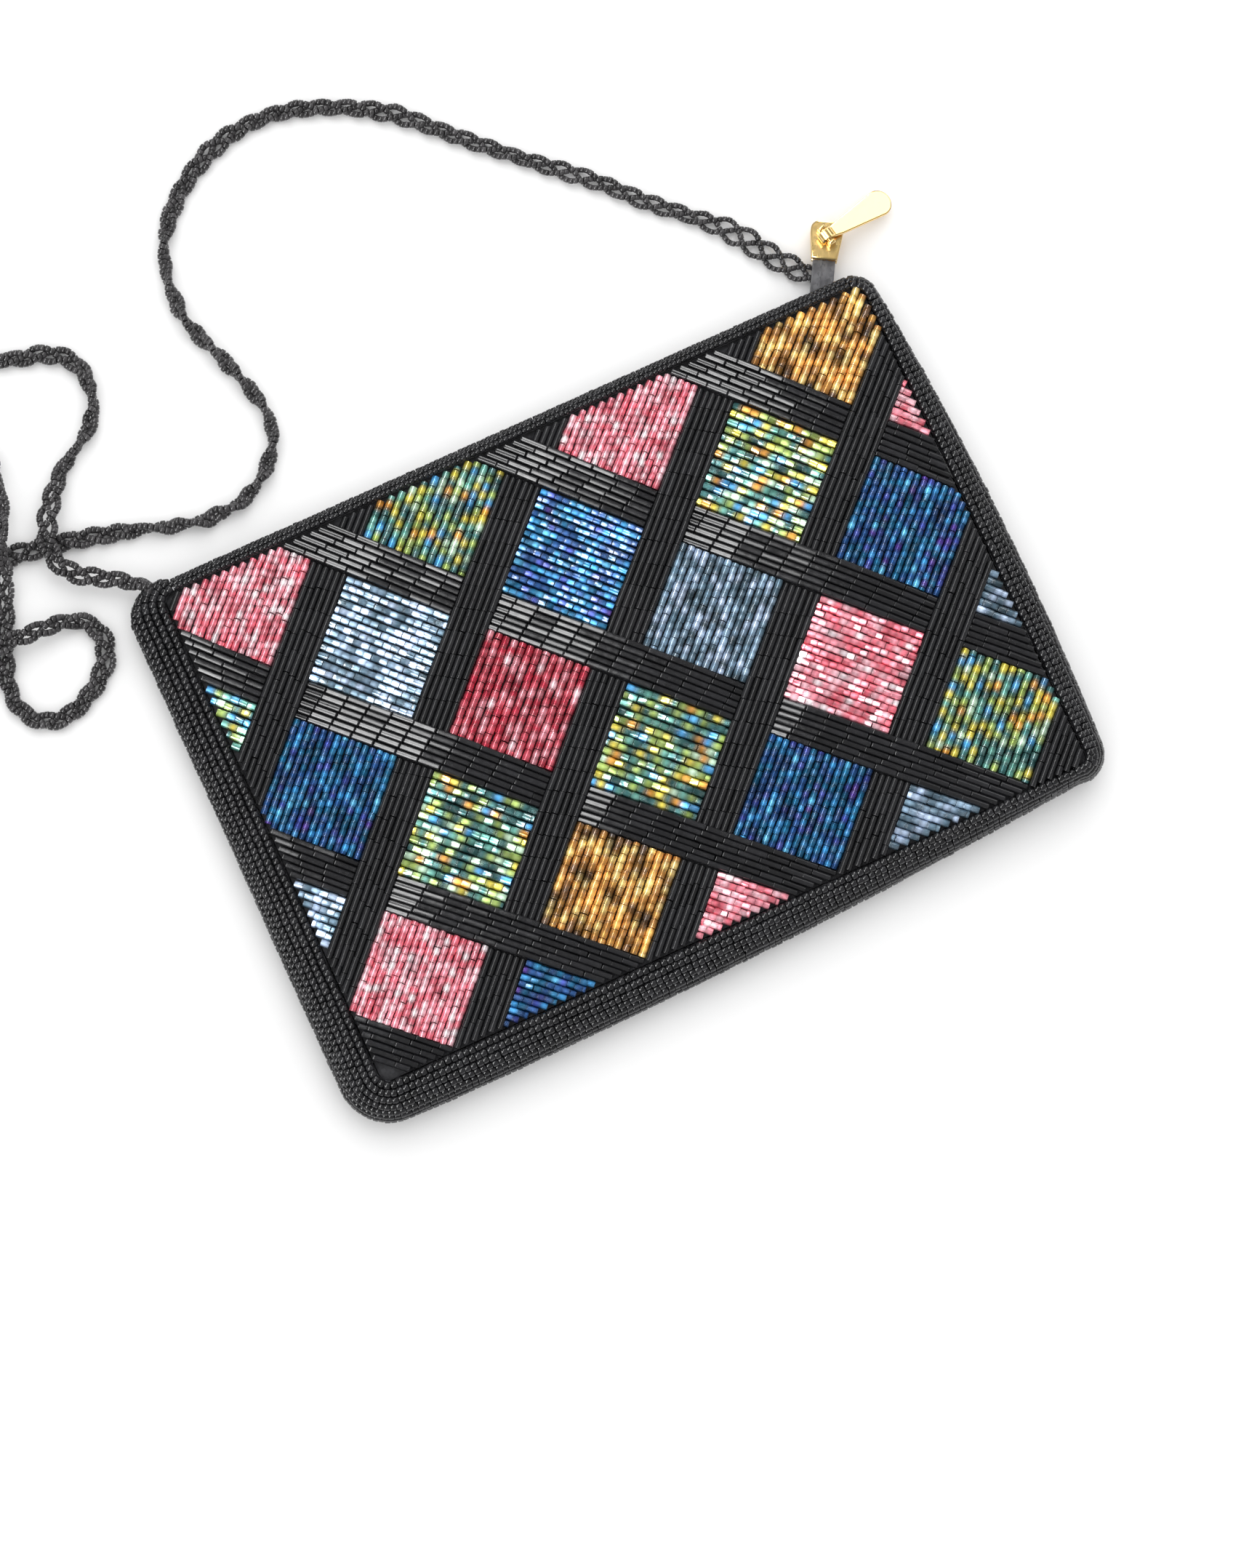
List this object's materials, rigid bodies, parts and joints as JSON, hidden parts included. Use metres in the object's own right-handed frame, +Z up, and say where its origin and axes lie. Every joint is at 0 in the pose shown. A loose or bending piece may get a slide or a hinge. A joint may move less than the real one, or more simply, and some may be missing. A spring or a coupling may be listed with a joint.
{
  "type": "beaded purse",
  "caption": "Flat beaded evening purse on its back, with a diamond lattice of bead squares, a rolled beaded edge, a zipped mouth with a gold pull and a braided bead strap.",
  "frame": {"origin": "point on the flat back, under the middle of the purse, where it rests on the table", "axes": "+X along the zip towards its pull, +Y from the purse's bottom towards its mouth, +Z up out of the beaded front"},
  "size_m": [0.2874, 0.2239, 0.0149],
  "materials": {
    "lattice_beads": "lined and iris glass beads on black cloth",
    "edge_beads": "glossy black seed beads",
    "strap_beads": "glossy black seed beads",
    "satin": "black satin",
    "zip_tape": "woven black tape",
    "zip_teeth": "black nylon",
    "gold_metal": "polished gold plate"
  },
  "bodies": {
    "purse": {"front_panel": "lattice_beads", "edge_band": "edge_beads", "mouth_rim": "edge_beads", "back_panel": "satin", "zip_tape_front": "zip_tape", "zip_tape_back": "zip_tape", "zip_coil": "zip_teeth", "zip_tail": "zip_tape", "zip_slider": "gold_metal", "strap_run": "strap_beads", "strap_slack": "strap_beads"},
    "pull": {"zip_pull": "gold_metal"}
  },
  "joints": [
    {"name": "pull_swing", "type": "hinge", "parent": "purse", "child": "pull", "pos_m": [0.08515, 0.07503, 0.0085], "axis": [0.1908, -0.9816, 0], "range_deg": [0, 180]}
  ]
}
